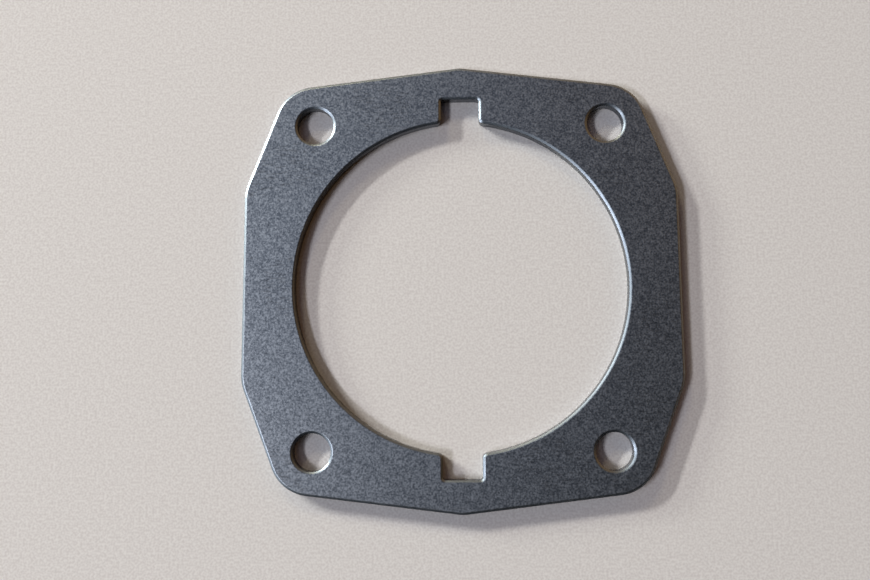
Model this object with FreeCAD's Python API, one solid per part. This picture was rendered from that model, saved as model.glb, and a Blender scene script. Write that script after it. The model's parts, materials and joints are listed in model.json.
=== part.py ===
import FreeCAD, Part

import math
import os

# Gasket plate, blanked in one stroke from flat zinc-plated steel sheet.
# Millimetres. The origin is on the bore's axis at the underside, +Z is up through the
# sheet, +Y points at one of the two shallow peaks and +X at one of the side flats.

# Sheet
sheet_thickness = 2.5

# Window: a round bore with a square-bottomed notch at each peak
bore_diameter = 76.3
notch_count = 2
notch_width = 8.9
notch_depth = 5.5         # from the bore's edge to the notch's floor
notch_root_radius = 0.6   # inner corners, at the notch's floor
notch_mouth_radius = 1.2  # outer corners, where the notch opens into the bore

# Bolt holes, two on each side of the X axis
bolt_hole_diameter = 8.5
bolt_web = 8.05           # steel left between the bore and a bolt hole
bolt_angle = 48.0         # degrees, from the X axis to a bolt hole

# Outline: rounded corners about the bolt holes, side flats and two shallow peaks
corner_margin = 5.3       # steel left outside a bolt hole, all round its corner
peak_web = 7.55           # steel left between a notch's floor and the peak's point
side_web = 11.8           # steel left between the bore and a side flat
side_flat_length = 44.0   # between the two bends of a side
peak_radius = 8.0
side_bend_radius = 10.0

# Edges: rolled over by the punch on top, a broken burr underneath
roll_over_radius = 0.55
burr_break = 0.12

# A length too small to matter, for finding edges that lie in a plane
plane_tolerance = 0.001

UP = FreeCAD.Vector(0, 0, 1)


def bolt_centres():
    """Centres of the four bolt holes, one in each quadrant."""
    circle_radius = bore_diameter / 2 + bolt_web + bolt_hole_diameter / 2
    across = circle_radius * math.cos(math.radians(bolt_angle))
    along = circle_radius * math.sin(math.radians(bolt_angle))
    return [FreeCAD.Vector(x, y, 0) for x in (across, -across) for y in (along, -along)]


def tangent_direction(start, centre, radius, side):
    """Unit vector from start along the line that just touches a circle, passing it on the given side."""
    to_centre = centre - start
    swing = side * math.asin(radius / to_centre.Length)
    heading = math.atan2(to_centre.y, to_centre.x) + swing
    return FreeCAD.Vector(math.cos(heading), math.sin(heading), 0)


def crossing(point_a, direction_a, point_b, direction_b):
    """Point where two lines in the XY plane cross."""
    gap = point_b - point_a
    turn = direction_a.x * direction_b.y - direction_a.y * direction_b.x
    reach = (gap.x * direction_b.y - gap.y * direction_b.x) / turn
    return point_a + direction_a * reach


def rounded_wire(corners):
    """Closed wire of straight sides through the corners, each corner rounded to its own radius."""
    arcs = []
    for index, (point, radius) in enumerate(corners):
        back = (corners[index - 1][0] - point).normalize()
        ahead = (corners[(index + 1) % len(corners)][0] - point).normalize()
        half_angle = back.getAngle(ahead) / 2
        setback = radius / math.tan(half_angle)
        bisector = (back + ahead).normalize()
        centre = point + bisector * (radius / math.sin(half_angle))
        arcs.append((point + back * setback, centre - bisector * radius, point + ahead * setback))
    edges = []
    for index, (start, middle, end) in enumerate(arcs):
        before = arcs[index - 1][2]
        edges.append(Part.LineSegment(before, start).toShape())
        edges.append(Part.Arc(start, middle, end).toShape())
    return Part.Wire(edges)


def outline_wire():
    """Outer outline: four rounded corners about the bolt holes, two side flats and two peaks."""
    peak_y = bore_diameter / 2 + notch_depth + peak_web
    side_x = bore_diameter / 2 + side_web
    bend_y = side_flat_length / 2
    corner_radius = bolt_hole_diameter / 2 + corner_margin

    bolt = bolt_centres()[0]
    peak = FreeCAD.Vector(0, peak_y, 0)
    bend = FreeCAD.Vector(side_x, bend_y, 0)
    top_slope = tangent_direction(peak, bolt, corner_radius, 1)
    side_slope = tangent_direction(bend, bolt, corner_radius, -1)
    corner = crossing(peak, top_slope, bend, side_slope)

    quarter = [(corner, corner_radius), (bend, side_bend_radius)]
    right = quarter + [(flip(point, 1, -1), radius) for point, radius in reversed(quarter)]
    left = [(flip(point, -1, 1), radius) for point, radius in reversed(right)]
    return rounded_wire([(peak, peak_radius)] + right + [(flip(peak, 1, -1), peak_radius)] + left)


def flip(point, x_sign, y_sign):
    """A point mirrored in the Y axis, the X axis or both."""
    return FreeCAD.Vector(point.x * x_sign, point.y * y_sign, point.z)


def notch_edges():
    """Edges of the notch on the +Y side, from its right mouth to its left, and the mouth's two ends."""
    half_width = notch_width / 2
    bore_radius = bore_diameter / 2
    floor_y = bore_radius + notch_depth

    mouth_x = half_width + notch_mouth_radius
    mouth_y = math.sqrt((bore_radius + notch_mouth_radius) ** 2 - mouth_x ** 2)
    mouth_centre = FreeCAD.Vector(mouth_x, mouth_y, 0)
    on_bore = mouth_centre * (bore_radius / mouth_centre.Length)
    on_side = FreeCAD.Vector(half_width, mouth_y, 0)
    mouth_bisector = ((on_bore - mouth_centre) + (on_side - mouth_centre)).normalize()
    mouth_middle = mouth_centre + mouth_bisector * notch_mouth_radius

    root_centre = FreeCAD.Vector(half_width - notch_root_radius, floor_y - notch_root_radius, 0)
    root_start = root_centre + FreeCAD.Vector(notch_root_radius, 0, 0)
    root_middle = root_centre + FreeCAD.Vector(1, 1, 0).normalize() * notch_root_radius
    root_end = root_centre + FreeCAD.Vector(0, notch_root_radius, 0)

    edges = [
        Part.Arc(on_bore, mouth_middle, on_side).toShape(),
        Part.LineSegment(on_side, root_start).toShape(),
        Part.Arc(root_start, root_middle, root_end).toShape(),
        Part.LineSegment(root_end, flip(root_end, -1, 1)).toShape(),
        Part.Arc(flip(root_end, -1, 1), flip(root_middle, -1, 1), flip(root_start, -1, 1)).toShape(),
        Part.LineSegment(flip(root_start, -1, 1), flip(on_side, -1, 1)).toShape(),
        Part.Arc(flip(on_side, -1, 1), flip(mouth_middle, -1, 1), flip(on_bore, -1, 1)).toShape(),
    ]
    return edges, on_bore, flip(on_bore, -1, 1)


def window_wire():
    """The bore and its notches as one closed wire."""
    step = 360.0 / notch_count
    notch, right_mouth, left_mouth = notch_edges()
    half_step = FreeCAD.Rotation(UP, step / 2)
    arc_middle = half_step.multVec(FreeCAD.Vector(0, bore_diameter / 2, 0))
    next_mouth = FreeCAD.Rotation(UP, step).multVec(right_mouth)
    sector = notch + [Part.Arc(left_mouth, arc_middle, next_mouth).toShape()]

    edges = []
    for index in range(notch_count):
        for edge in sector:
            turned = edge.copy()
            turned.rotate(FreeCAD.Vector(0, 0, 0), UP, step * index)
            edges.append(turned)
    return Part.Wire(Part.__sortEdges__(edges))


def bolt_hole_wires():
    """One round wire for each bolt hole."""
    return [Part.Wire(Part.makeCircle(bolt_hole_diameter / 2, centre)) for centre in bolt_centres()]


def edges_in_plane(solid, height):
    """Edges of a solid that lie wholly in the level plane at a height."""
    return [edge for edge in solid.Edges
            if abs(edge.BoundBox.ZMin - height) < plane_tolerance
            and abs(edge.BoundBox.ZMax - height) < plane_tolerance]


def gasket_plate():
    """The blanked plate, rolled over along every top edge and deburred along every bottom one."""
    wires = [outline_wire(), window_wire()] + bolt_hole_wires()
    face = Part.makeFace(wires, "Part::FaceMakerBullseye")
    plate = face.extrude(UP * sheet_thickness)
    plate = plate.makeFillet(roll_over_radius, edges_in_plane(plate, sheet_thickness))
    return plate.makeChamfer(burr_break, edges_in_plane(plate, 0.0))


os.makedirs("parts", exist_ok=True)
plate = gasket_plate()
plate.exportStep("parts/gasket_plate.step")
print("solids", len(plate.Solids), "valid", plate.isValid(), "volume", round(plate.Volume, 3))
print("bolt centres", [(round(point.x, 3), round(point.y, 3)) for point in bolt_centres()])
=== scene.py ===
import json
import math

import bpy
from mathutils import Euler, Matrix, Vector


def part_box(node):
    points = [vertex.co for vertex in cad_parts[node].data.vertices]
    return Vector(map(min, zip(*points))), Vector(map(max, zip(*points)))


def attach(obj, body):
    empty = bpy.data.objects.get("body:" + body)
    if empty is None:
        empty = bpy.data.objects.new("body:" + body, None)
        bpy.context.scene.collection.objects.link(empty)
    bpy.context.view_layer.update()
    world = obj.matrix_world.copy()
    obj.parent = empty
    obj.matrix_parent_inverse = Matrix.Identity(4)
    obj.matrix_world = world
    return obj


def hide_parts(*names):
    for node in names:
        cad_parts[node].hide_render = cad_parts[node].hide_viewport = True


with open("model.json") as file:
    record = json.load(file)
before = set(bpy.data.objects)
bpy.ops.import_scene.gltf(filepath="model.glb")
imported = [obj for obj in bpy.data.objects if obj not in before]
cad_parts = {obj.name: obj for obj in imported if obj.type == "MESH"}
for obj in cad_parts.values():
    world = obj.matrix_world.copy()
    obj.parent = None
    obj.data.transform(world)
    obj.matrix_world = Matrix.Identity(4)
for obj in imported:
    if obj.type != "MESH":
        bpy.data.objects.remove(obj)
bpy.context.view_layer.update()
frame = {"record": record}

# The gasket plate. One flat plate blanked from 2.5 mm sheet steel in a single stroke, with a bore,
# two notches and four bolt holes. The punch rolls the top edge over and burnishes the wall, and the
# plate is zinc plated after blanking, so every face and edge carries the same blue-grey zinc.
MM = 0.001
mounts = {mount["name"]: mount["dims"] for mount in frame["record"]["mounts"]}
plate_low, plate_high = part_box("gasket_plate")
sheet_thickness = plate_high.z - plate_low.z
side_x = plate_high.x
bore_radius = mounts["bore"]["r_mm"] * MM
bolt = Vector((mounts["bolts"]["spacing_x_mm"], mounts["bolts"]["spacing_y_mm"])) * MM / 2
bolt_hole_radius = mounts["bolts"]["hole_r_mm"] * MM
notch_width = 8.9 * MM
notch_depth = 5.5 * MM
notch_root_radius = 0.6 * MM
notch_mouth_radius = 1.2 * MM
corner_margin = 5.3 * MM       # steel left outside a bolt hole, all round its corner
peak_web = 7.55 * MM           # steel left between a notch's floor and the peak's point
side_flat_length = 44.0 * MM
side_bend_radius = 10.0 * MM
peak_radius = 8.0 * MM
roll_over = 0.6 * MM           # how far in from the cut the punch rolls the top edge over
roll_drop = 0.3 * MM           # how far down the roll reaches at the cut
burr_break = 0.12 * MM         # where the burr underneath is broken off
flat_margin = 0.1 * MM         # flat strip beside the rolled edge, which keeps the shading off the face
point_spacing = 0.35 * MM      # along a punch line
largest_turn = math.radians(7.5)   # in one step along an arc
soft_crease = math.radians(30)     # edges that turn more than this stay sharp
weld_distance = 0.001 * MM

pebble_spacing = 0.38 * MM     # the pickled sheet's grain, under the plating
dent_spacing = 1.0 * MM
dent_share = 0.14              # of the grain, which is pebbles for the rest
grain_depth = 0.018 * MM
cloud_spacing = 12 * MM
cloud_share = 0.08             # of the face's tone, which is grain for the rest
pit_spacing = 2.0 * MM
largest_pit = 0.16             # as a share of the pits' spacing
pit_depth = 0.15               # as a share of the grain's depth
# How dark the pits are painted: painted shade in the dents
pit_shade_strength = 0.45
rub_spacing = 16 * MM          # between the places where plates have slid on each other
streak_width = 0.5 * MM
streak_stretch = (5, 1, 1)     # streaks are five times as long as they are wide
rub_strength = 0.3
hollow_roughness = 0.36
top_roughness_gain = 0.14      # how much rougher the grain's tops are than its hollows
wall_roughness_loss = 0.17     # how much smoother the punched wall is than the face
# Grain hollows and tops: partly the sheet's own mottle, partly painted shade in the hollows and painted light
# on the tops
zinc_hollow_shaded = "#7E858C"
zinc_top_lit = "#BEC4CA"
# Painted shade inside the pits
zinc_pit_shade = "#4A4D52"
zinc_rub = "#5C5A58"
zinc_roll = "#8A9298"
# The wall is painted darker than the face: partly its own dull fractured finish, partly painted shade inside
# the holes and under the rolled edge
zinc_wall_dull_and_shaded = "#70757A"


def round_stretch(centre, radius, start, end):
    """Points of a punch line along an arc, from one angle to another."""
    steps = math.ceil(max(abs(end - start) / largest_turn, abs(end - start) * radius / point_spacing))
    angles = [start + (end - start) * step / steps for step in range(steps + 1)]
    return [centre + radius * Vector((math.cos(angle), math.sin(angle))) for angle in angles]


def closed_line(points):
    """A closed punch line: straight runs between the points, cut into even steps."""
    line = []
    for index, point in enumerate(points):
        run = points[(index + 1) % len(points)] - point
        steps = math.ceil(run.length / point_spacing - 0.01)
        line += [point + run * step / steps for step in range(steps)]
    return line


def rounded_corner(before, corner, after, radius):
    """Points along the arc that rounds a corner between its two neighbours."""
    back = (before - corner).normalized()
    ahead = (after - corner).normalized()
    half_angle = back.angle(ahead) / 2
    centre = corner + (back + ahead).normalized() * radius / math.sin(half_angle)
    touch = corner + back * radius / math.tan(half_angle) - centre
    start = math.atan2(touch.y, touch.x)
    turn = math.pi - 2 * half_angle
    return round_stretch(centre, radius, start, start + math.copysign(turn, back.cross(ahead) * -1))


def touching_direction(start, centre, radius, side):
    """Direction from a point along the line that just touches a circle, on the given side."""
    to_centre = centre - start
    heading = math.atan2(to_centre.y, to_centre.x) + side * math.asin(radius / to_centre.length)
    return Vector((math.cos(heading), math.sin(heading)))


def outline():
    """Two shallow peaks, two side flats and four corners that run round the bolt holes."""
    peak = Vector((0, bore_radius + notch_depth + peak_web))
    bend = Vector((side_x, side_flat_length / 2))
    corner_radius = bolt_hole_radius + corner_margin
    down_slope = touching_direction(peak, bolt, corner_radius, 1)
    up_slope = touching_direction(bend, bolt, corner_radius, -1)
    reach = (bend - peak).cross(up_slope) / down_slope.cross(up_slope)
    corner = peak + down_slope * reach

    quarter = [(bend, side_bend_radius), (corner, corner_radius)]
    right = [(point * Vector((1, -1)), radius) for point, radius in reversed(quarter)] + quarter
    left = [(-point, radius) for point, radius in right]
    corners = right + [(peak, peak_radius)] + left + [(-peak, peak_radius)]
    points = []
    for index, (point, radius) in enumerate(corners):
        before = corners[index - 1][0]
        after = corners[(index + 1) % len(corners)][0]
        points += rounded_corner(before, point, after, radius)
    return closed_line(points)


def window():
    """The bore and its two square-bottomed notches as one line."""
    mouth_x = notch_width / 2 + notch_mouth_radius
    mouth_y = math.sqrt((bore_radius + notch_mouth_radius) ** 2 - mouth_x ** 2)
    mouth_angle = math.atan2(mouth_y, mouth_x)
    root_x = notch_width / 2 - notch_root_radius
    root_y = bore_radius + notch_depth - notch_root_radius
    quarter_turn = math.pi / 2
    half = (
        round_stretch(Vector((0, 0)), bore_radius, -mouth_angle, mouth_angle)
        + round_stretch(Vector((mouth_x, mouth_y)), notch_mouth_radius, math.pi + mouth_angle, math.pi)
        + round_stretch(Vector((root_x, root_y)), notch_root_radius, 0, quarter_turn)
        + round_stretch(Vector((-root_x, root_y)), notch_root_radius, quarter_turn, math.pi)
        + round_stretch(Vector((-mouth_x, mouth_y)), notch_mouth_radius, 0, -mouth_angle)
    )
    return closed_line(half + [-point for point in half])


def bolt_hole(centre):
    """One round hole."""
    return closed_line(round_stretch(centre, bolt_hole_radius, 0, 2 * math.pi)[:-1])


def add(tree, kind, inputs=None, **settings):
    """Adds a node with its settings. An input takes a value, another node's output or a whole node, which
    stands for its first output."""
    node = tree.nodes.new(kind)
    for name, value in settings.items():
        setattr(node, name, value)
    for name, value in (inputs or {}).items():
        if isinstance(value, bpy.types.Node):
            value = value.outputs[0]
        if isinstance(value, bpy.types.NodeSocket):
            tree.links.new(value, node.inputs[name])
        else:
            node.inputs[name].default_value = value
    return node


def linear(hex_colour):
    """An sRGB hex colour as the linear red, green, blue and alpha that a shader takes."""
    parts = [int(hex_colour[i:i + 2], 16) / 255 for i in (1, 3, 5)]
    return [p / 12.92 if p <= 0.04045 else ((p + 0.055) / 1.055) ** 2.4 for p in parts] + [1.0]


def zinc_plated_steel():
    """Blue-grey zinc over sheet steel. The pickled sheet's pebbled grain shows through the plating as matt
    tops and smoother hollows, painted lighter on the tops and darker in the hollows: partly the sheet's own
    mottle, partly painted light and painted shade of the relief. A few pits are painted dark as painted
    shade, and there are rub marks. The punch has burnished the wall, which mirrors the floor at its foot;
    the wall is painted darker, partly its own dull fractured finish and partly painted shade."""
    material = bpy.data.materials.new("blue_zinc_on_sheet_steel")
    material.use_nodes = True
    tree = material.node_tree
    tree.nodes.clear()
    place = add(tree, "ShaderNodeTexCoord").outputs["Object"]
    edge = add(tree, "ShaderNodeAttribute", attribute_name="cut_edge").outputs["Fac"]
    face_share = add(tree, "ShaderNodeMath", {0: 1.0, 1: edge}, operation="SUBTRACT")
    roll_share = add(tree, "ShaderNodeMapRange", {"Value": edge, "From Min": 0.0, "From Max": 0.4},
                     interpolation_type="SMOOTHSTEP")
    wall_share = add(tree, "ShaderNodeMapRange", {"Value": edge, "From Min": 0.9, "From Max": 1.0},
                     interpolation_type="SMOOTHSTEP")

    pebbles = add(tree, "ShaderNodeTexNoise", {"Vector": place, "Scale": 1 / pebble_spacing, "Detail": 0.0})
    dents = add(tree, "ShaderNodeTexNoise", {"Vector": place, "Scale": 1 / dent_spacing, "Detail": 0.0})
    clouds = add(tree, "ShaderNodeTexNoise", {"Vector": place, "Scale": 1 / cloud_spacing, "Detail": 3.0})
    dents_part = add(tree, "ShaderNodeMath", {0: dents, 1: dent_share}, operation="MULTIPLY")
    grain = add(tree, "ShaderNodeMath", {0: pebbles, 1: 1 - dent_share, 2: dents_part},
                operation="MULTIPLY_ADD")
    grain_part = add(tree, "ShaderNodeMath", {0: grain, 1: 1 - cloud_share}, operation="MULTIPLY")
    tone = add(tree, "ShaderNodeMath", {0: clouds, 1: cloud_share, 2: grain_part}, operation="MULTIPLY_ADD")
    # The face's tone runs between them: partly the grain's own mottle, partly painted light on the tops and
    # painted shade in the hollows
    top_share = add(tree, "ShaderNodeMapRange", {"Value": tone, "From Min": 0.1, "From Max": 0.9},
                    interpolation_type="SMOOTHSTEP")
    face = add(tree, "ShaderNodeMix", {"Factor": top_share, "A": linear(zinc_hollow_shaded), "B": linear(zinc_top_lit)},
               data_type="RGBA").outputs[2]

    # Fewer than half of the cells have a pit, and each pit has its own size
    cells = add(tree, "ShaderNodeTexVoronoi", {"Vector": place, "Scale": 1 / pit_spacing}).outputs
    chance = add(tree, "ShaderNodeSeparateColor", {0: cells["Color"]})
    pit_size = add(tree, "ShaderNodeMapRange", {"Value": chance, "From Min": 0.55, "To Max": largest_pit},
                   interpolation_type="SMOOTHSTEP")
    in_pit = add(tree, "ShaderNodeMath", {0: cells["Distance"], 1: pit_size}, operation="LESS_THAN")
    pit = add(tree, "ShaderNodeMath", {0: face_share, 1: in_pit}, operation="MULTIPLY")
    # The pits are painted dark: painted shade in the dents
    pit_shade_share = add(tree, "ShaderNodeMath", {0: pit, 1: pit_shade_strength}, operation="MULTIPLY")
    with_pit_shade = add(tree, "ShaderNodeMix", {"Factor": pit_shade_share, "A": face, "B": linear(zinc_pit_shade)},
                 data_type="RGBA").outputs[2]

    patches = add(tree, "ShaderNodeTexNoise", {"Vector": place, "Scale": 1 / rub_spacing, "Detail": 0.0})
    in_patch = add(tree, "ShaderNodeMapRange", {"Value": patches, "From Min": 0.58, "From Max": 0.68},
                   interpolation_type="SMOOTHSTEP")
    along = add(tree, "ShaderNodeVectorMath", {0: place, 1: streak_stretch}, operation="DIVIDE")
    streaks = add(tree, "ShaderNodeTexNoise", {"Vector": along, "Scale": 1 / streak_width, "Detail": 1.0})
    in_streak = add(tree, "ShaderNodeMapRange", {"Value": streaks, "From Min": 0.52, "From Max": 0.64},
                    interpolation_type="SMOOTHSTEP")
    rub = add(tree, "ShaderNodeMath", {0: in_patch, 1: in_streak}, operation="MULTIPLY")
    rub_share = add(tree, "ShaderNodeMath", {0: rub, 1: rub_strength}, operation="MULTIPLY")
    rubbed = add(tree, "ShaderNodeMix", {"Factor": rub_share, "A": with_pit_shade, "B": linear(zinc_rub)},
                 data_type="RGBA").outputs[2]
    rolled = add(tree, "ShaderNodeMix", {"Factor": roll_share, "A": rubbed, "B": linear(zinc_roll)},
                 data_type="RGBA").outputs[2]
    # The wall's darker colour: partly its dull fractured finish, partly painted shade
    colour = add(tree, "ShaderNodeMix", {"Factor": wall_share, "A": rolled, "B": linear(zinc_wall_dull_and_shaded)},
                 data_type="RGBA").outputs[2]

    relief = add(tree, "ShaderNodeMath", {0: pit, 1: -pit_depth, 2: grain}, operation="MULTIPLY_ADD")
    bump = add(tree, "ShaderNodeBump", {"Strength": face_share, "Distance": grain_depth, "Height": relief})
    matt = add(tree, "ShaderNodeMath", {0: grain, 1: top_roughness_gain, 2: hollow_roughness},
               operation="MULTIPLY_ADD")
    roughness = add(tree, "ShaderNodeMath", {0: wall_share, 1: -wall_roughness_loss, 2: matt},
                    operation="MULTIPLY_ADD")
    shader = add(tree, "ShaderNodeBsdfPrincipled",
                 {"Base Color": colour, "Metallic": 1.0, "Roughness": roughness, "Normal": bump})
    add(tree, "ShaderNodeOutputMaterial", {"Surface": shader})
    return material


def blanking_tree(material):
    """Geometry Nodes that turn punch lines into a plate: the cut edge is swept along each line, and the
    faces are filled between them. A swept section has its x axis outwards and its y axis downwards."""
    tree = bpy.data.node_groups.new("blanked_plate", "GeometryNodeTree")
    tree.interface.new_socket("Geometry", in_out="OUTPUT", socket_type="NodeSocketGeometry")
    tree.interface.new_socket("Punch lines", in_out="INPUT", socket_type="NodeSocketGeometry")
    sizes = ("Sheet thickness", "Roll over", "Roll drop", "Burr break", "Flat margin")
    for name in sizes:
        tree.interface.new_socket(name, in_out="INPUT", socket_type="NodeSocketFloat")
    given = add(tree, "NodeGroupInput").outputs
    thickness, roll, drop, burr, margin = (given[name] for name in sizes)

    def at(x, height):
        """A point of the swept section, by its height over the underside."""
        down = add(tree, "ShaderNodeMath", {0: height, 1: -1.0}, operation="MULTIPLY")
        return add(tree, "ShaderNodeCombineXYZ", {"X": x, "Y": down})

    roll_x = add(tree, "ShaderNodeMath", {0: roll, 1: -1.0}, operation="MULTIPLY")
    inner_x = add(tree, "ShaderNodeMath", {0: roll_x, 1: margin}, operation="SUBTRACT")
    burr_x = add(tree, "ShaderNodeMath", {0: burr, 1: -1.0}, operation="MULTIPLY")
    wall_top = add(tree, "ShaderNodeMath", {0: thickness, 1: drop}, operation="SUBTRACT")
    # The roll leaves the face level and has turned down by 30 degrees where it meets the wall
    level_x = add(tree, "ShaderNodeMath", {0: roll, 1: -0.75}, operation="MULTIPLY")
    steep_x = add(tree, "ShaderNodeMath", {0: roll, 1: -0.33}, operation="MULTIPLY")
    steep_height = add(tree, "ShaderNodeMath", {0: drop, 1: -0.62, 2: thickness}, operation="MULTIPLY_ADD")

    lines = add(tree, "GeometryNodeSetCurveNormal", {"Curve": given["Punch lines"]}, mode="Z_UP")
    margin_run = add(tree, "GeometryNodeCurvePrimitiveLine",
                     {"Start": at(inner_x, thickness), "End": at(roll_x, thickness)})
    roll_run = add(tree, "GeometryNodeCurvePrimitiveBezierSegment",
                   {"Resolution": 10, "Start": at(roll_x, thickness), "Start Handle": at(level_x, thickness),
                    "End Handle": at(steep_x, steep_height), "End": at(0.0, wall_top)}, mode="POSITION")
    wall_run = add(tree, "GeometryNodeCurvePrimitiveLine", {"Start": at(0.0, wall_top), "End": at(0.0, burr)})
    burr_run = add(tree, "GeometryNodeCurvePrimitiveLine", {"Start": at(0.0, burr), "End": at(burr_x, 0.0)})
    along_roll = add(tree, "GeometryNodeSplineParameter").outputs["Factor"]

    def band(run, edge_share):
        """One run of the section, marked with its share of cut edge and swept along the punch lines."""
        marked = add(tree, "GeometryNodeStoreNamedAttribute",
                     {"Geometry": run, "Name": "cut_edge", "Value": edge_share},
                     data_type="FLOAT", domain="POINT")
        return add(tree, "GeometryNodeCurveToMesh", {"Curve": lines, "Profile Curve": marked})

    def filled(setback, height):
        """The flat face between the punch lines, set back from them and lifted to its height."""
        inwards = add(tree, "ShaderNodeVectorMath",
                      {0: add(tree, "GeometryNodeInputNormal"), "Scale": setback}, operation="SCALE")
        moved = add(tree, "GeometryNodeSetPosition", {"Geometry": lines, "Offset": inwards})
        flat = add(tree, "GeometryNodeFillCurve", {"Curve": moved})
        lift = add(tree, "ShaderNodeCombineXYZ", {"Z": height})
        return add(tree, "GeometryNodeTransform", {"Geometry": flat, "Translation": lift})

    underside = add(tree, "GeometryNodeFlipFaces", {"Mesh": filled(burr_x, 0.0)})
    parts = [band(margin_run, 0.0), band(roll_run, along_roll), band(wall_run, 1.0), band(burr_run, 1.0)]
    parts += [filled(inner_x, thickness), underside]
    whole = add(tree, "GeometryNodeJoinGeometry")
    for part in parts:
        tree.links.new(part.outputs[0], whole.inputs[0])
    merged = add(tree, "GeometryNodeMergeByDistance", {"Geometry": whole, "Distance": weld_distance})
    crease = add(tree, "GeometryNodeInputMeshEdgeAngle").outputs["Unsigned Angle"]
    soft = add(tree, "FunctionNodeCompare", {0: crease, 1: soft_crease}, operation="LESS_THAN")
    smooth = add(tree, "GeometryNodeSetShadeSmooth", {"Geometry": merged})
    shaded = add(tree, "GeometryNodeSetShadeSmooth",
                 {"Geometry": smooth, "Shade Smooth": soft}, domain="EDGE")
    plain = add(tree, "GeometryNodeRealizeInstances", {"Geometry": shaded})
    plated = add(tree, "GeometryNodeSetMaterial", {"Geometry": plain, "Material": material})
    add(tree, "NodeGroupOutput", {"Geometry": plated})
    return tree


def blank_plate(name, material):
    """The plate as one closed mesh. Every line runs with the steel on its left."""
    curve = bpy.data.curves.new(name, "CURVE")
    curve.dimensions = "3D"
    lines = [outline(), window()[::-1]]
    lines += [bolt_hole(Vector((x * bolt.x, y * bolt.y)))[::-1] for x in (1, -1) for y in (1, -1)]
    for line in lines:
        spline = curve.splines.new("POLY")
        spline.points.add(len(line) - 1)
        for point, place in zip(spline.points, line):
            point.co = (place.x, place.y, 0, 1)
        spline.use_cyclic_u = True
    shape = bpy.data.objects.new(name, curve)
    bpy.context.scene.collection.objects.link(shape)
    modifier = shape.modifiers.new("blanking", "NODES")
    modifier.node_group = blanking_tree(material)
    sizes = {"Sheet thickness": sheet_thickness, "Roll over": roll_over, "Roll drop": roll_drop,
             "Burr break": burr_break, "Flat margin": flat_margin}
    for socket in modifier.node_group.interface.items_tree:
        if socket.name in sizes:
            modifier[socket.identifier] = sizes[socket.name]
    evaluated = shape.evaluated_get(bpy.context.evaluated_depsgraph_get())
    mesh = bpy.data.meshes.new_from_object(evaluated)
    mesh.materials.clear()
    mesh.materials.append(material)
    bpy.data.objects.remove(shape)
    piece = bpy.data.objects.new(name, mesh)
    bpy.context.scene.collection.objects.link(piece)
    return piece


plate = blank_plate("plated_gasket", zinc_plated_steel())
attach(plate, "root")
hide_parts("gasket_plate")


# The floor. A wide sheet of pale matt board that the plate lies on, only there to carry its shadow.
# Its paper grain shows as a faint warm mottle.
floor_reach = 6.0
fibre_spacing = 0.5 * MM
lump_spacing = 1.0 * MM
lump_share = 0.35              # of the board's grain, which is fibres for the rest
board_depth = 0.02 * MM
board_hollow = "#D8D1CB"
board_top = "#E9E4DE"


def pale_board():
    """Uncoated board: no shine, an even warm white with a faint mottle from its fibres."""
    material = bpy.data.materials.new("pale_matt_board")
    material.use_nodes = True
    tree = material.node_tree
    tree.nodes.clear()
    place = add(tree, "ShaderNodeTexCoord").outputs["Object"]
    fibres = add(tree, "ShaderNodeTexNoise", {"Vector": place, "Scale": 1 / fibre_spacing, "Detail": 0.0})
    lumps = add(tree, "ShaderNodeTexNoise", {"Vector": place, "Scale": 1 / lump_spacing, "Detail": 1.0})
    lumps_part = add(tree, "ShaderNodeMath", {0: lumps, 1: lump_share}, operation="MULTIPLY")
    grain = add(tree, "ShaderNodeMath", {0: fibres, 1: 1 - lump_share, 2: lumps_part},
                operation="MULTIPLY_ADD")
    top_share = add(tree, "ShaderNodeMapRange", {"Value": grain, "From Min": 0.2, "From Max": 0.8},
                    interpolation_type="SMOOTHSTEP")
    colour = add(tree, "ShaderNodeMix",
                 {"Factor": top_share, "A": linear(board_hollow), "B": linear(board_top)},
                 data_type="RGBA").outputs[2]
    bump = add(tree, "ShaderNodeBump", {"Distance": board_depth, "Height": grain})
    shader = add(tree, "ShaderNodeBsdfPrincipled",
                 {"Base Color": colour, "Roughness": 0.9, "Specular IOR Level": 0.1, "Normal": bump})
    add(tree, "ShaderNodeOutputMaterial", {"Surface": shader})
    return material


floor_corners = [(-1, -1), (1, -1), (1, 1), (-1, 1)]
board = bpy.data.meshes.new("floor")
board.from_pydata([(x * floor_reach, y * floor_reach, 0) for x, y in floor_corners], [], [(0, 1, 2, 3)])
board.materials.append(pale_board())
floor = bpy.data.objects.new("floor", board)
bpy.context.scene.collection.objects.link(floor)


# The studio light. Five panels stand round the left and the back of the plate, most of them low. The
# long thin key panel casts the crisp shadow, and with so little light from overhead the flat metal stays
# dark, fades from left to right and keeps its bright left-facing edges.
panel_distance = 2.5


def panel(name, azimuth, elevation, width, height, colour, power):
    """A light panel aimed at the plate, placed by its direction from it in degrees."""
    lamp = bpy.data.lights.new(name, "AREA")
    lamp.shape = "RECTANGLE"
    lamp.size = width
    lamp.size_y = height
    lamp.color = linear(colour)[:3]
    lamp.energy = power
    around = math.radians(azimuth)
    up = math.radians(elevation)
    way = Vector((math.cos(around) * math.cos(up), math.sin(around) * math.cos(up), math.sin(up)))
    stand = bpy.data.objects.new(name, lamp)
    stand.location = way * panel_distance
    stand.rotation_euler = (-way).to_track_quat("-Z", "Y").to_euler()
    stand.visible_camera = False
    bpy.context.scene.collection.objects.link(stand)


panel("key_panel", 144, 19.3, 0.61, 0.09, "#FDFFFF", 51)
panel("low_panel", 152, 11, 0.39, 0.26, "#FAFFF7", 38)
panel("cool_panel", 200, 42, 1.06, 0.31, "#ECF0FD", 29)
panel("warm_panel", 112, 25, 0.61, 0.30, "#FFEFCB", 11)
panel("high_panel", 208, 62, 0.79, 0.44, "#FFF6F3", 1.6)


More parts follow.
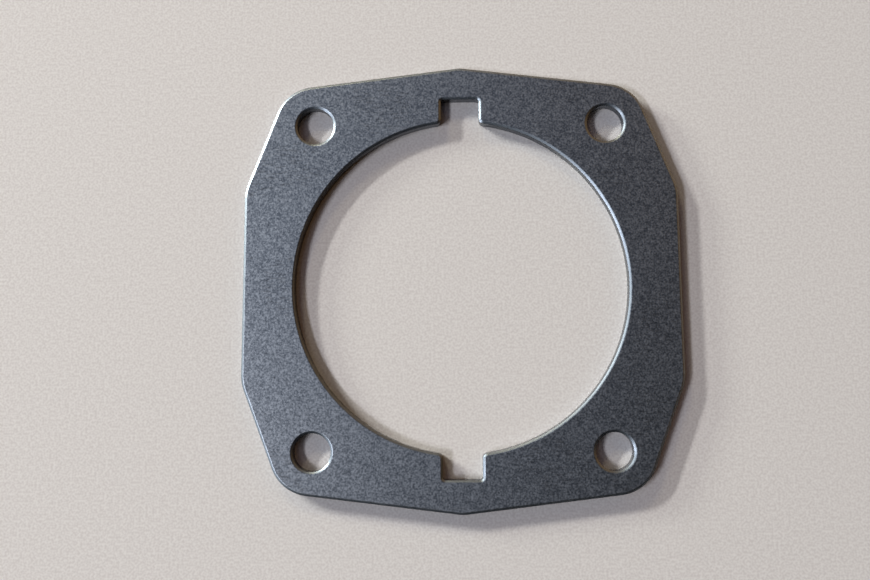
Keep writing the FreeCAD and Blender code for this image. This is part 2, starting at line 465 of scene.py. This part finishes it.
# The room round the plate. Its back right side, low down, throws back a warm light that browns the
# shadows, the sky over its back left is a dim blue, and a pale window stands low at the left. Seen
# directly, it is a plain pale wall all round.
room_glow = 1.2
dark_room = "#000000"
warm_wall = "#B0885C"
dim_sky = "#41557D"
low_window = "#E4ECF4"
seen_wall = "#BFB8B2"

room = bpy.data.worlds.new("studio")
bpy.context.scene.world = room
room.use_nodes = True
tree = room.node_tree
tree.nodes.clear()
direction = add(tree, "ShaderNodeTexCoord").outputs["Generated"]
toward = add(tree, "ShaderNodeSeparateXYZ", {0: direction}).outputs
right = add(tree, "ShaderNodeMapRange", {"Value": toward["X"], "From Min": -0.5, "From Max": 0.5},
            interpolation_type="SMOOTHSTEP")
back = add(tree, "ShaderNodeMapRange", {"Value": toward["Y"], "From Min": -0.5, "From Max": 0.5},
           interpolation_type="SMOOTHSTEP")
overhead = add(tree, "ShaderNodeMapRange", {"Value": toward["Z"], "From Min": 0.35, "From Max": 0.85},
               interpolation_type="SMOOTHSTEP")
left = add(tree, "ShaderNodeMath", {0: 1.0, 1: right}, operation="SUBTRACT")
beside = add(tree, "ShaderNodeMath", {0: 1.0, 1: overhead}, operation="SUBTRACT")

back_right = add(tree, "ShaderNodeMath", {0: right, 1: back}, operation="MULTIPLY")
warm_share = add(tree, "ShaderNodeMath", {0: back_right, 1: beside}, operation="MULTIPLY")
back_left = add(tree, "ShaderNodeMath", {0: left, 1: back}, operation="MULTIPLY")
sky_share = add(tree, "ShaderNodeMath", {0: back_left, 1: overhead}, operation="MULTIPLY")
far_left = add(tree, "ShaderNodeMapRange", {"Value": toward["X"], "From Min": -0.55, "From Max": -0.85},
               interpolation_type="SMOOTHSTEP")
low_down = add(tree, "ShaderNodeMapRange", {"Value": toward["Z"], "From Min": 0.40, "From Max": 0.15},
               interpolation_type="SMOOTHSTEP")
window_share = add(tree, "ShaderNodeMath", {0: far_left, 1: low_down}, operation="MULTIPLY")

warmed = add(tree, "ShaderNodeMix", {"Factor": warm_share, "A": linear(dark_room), "B": linear(warm_wall)},
             data_type="RGBA").outputs[2]
under_sky = add(tree, "ShaderNodeMix", {"Factor": sky_share, "A": warmed, "B": linear(dim_sky)},
                data_type="RGBA").outputs[2]
surround = add(tree, "ShaderNodeMix", {"Factor": window_share, "A": under_sky, "B": linear(low_window)},
               data_type="RGBA").outputs[2]
seen = add(tree, "ShaderNodeLightPath").outputs["Is Camera Ray"]
wall = add(tree, "ShaderNodeMix", {"Factor": seen, "A": surround, "B": linear(seen_wall)},
           data_type="RGBA").outputs[2]
glow = add(tree, "ShaderNodeBackground", {"Color": wall, "Strength": room_glow})
add(tree, "ShaderNodeOutputWorld", {"Surface": glow})


# The camera. It looks down on the plate from a hand's length above it, a little from the front and a
# little from the left.
camera_place = Vector((-3.255, -19.183, 169.807)) * MM
camera_tilt = [math.radians(angle) for angle in (6.121, 0.974, -0.321)]
focal_length = 30.621
lens = bpy.data.cameras.new("camera")
lens.sensor_width = 36.0
lens.lens = focal_length
lens.clip_start = 0.01
lens.clip_end = 50.0
camera = bpy.data.objects.new("camera", lens)
camera.location = camera_place
camera.rotation_euler = Euler(camera_tilt, "XYZ")
bpy.context.scene.collection.objects.link(camera)
bpy.context.scene.camera = camera
bpy.context.scene.view_settings.view_transform = "Standard"
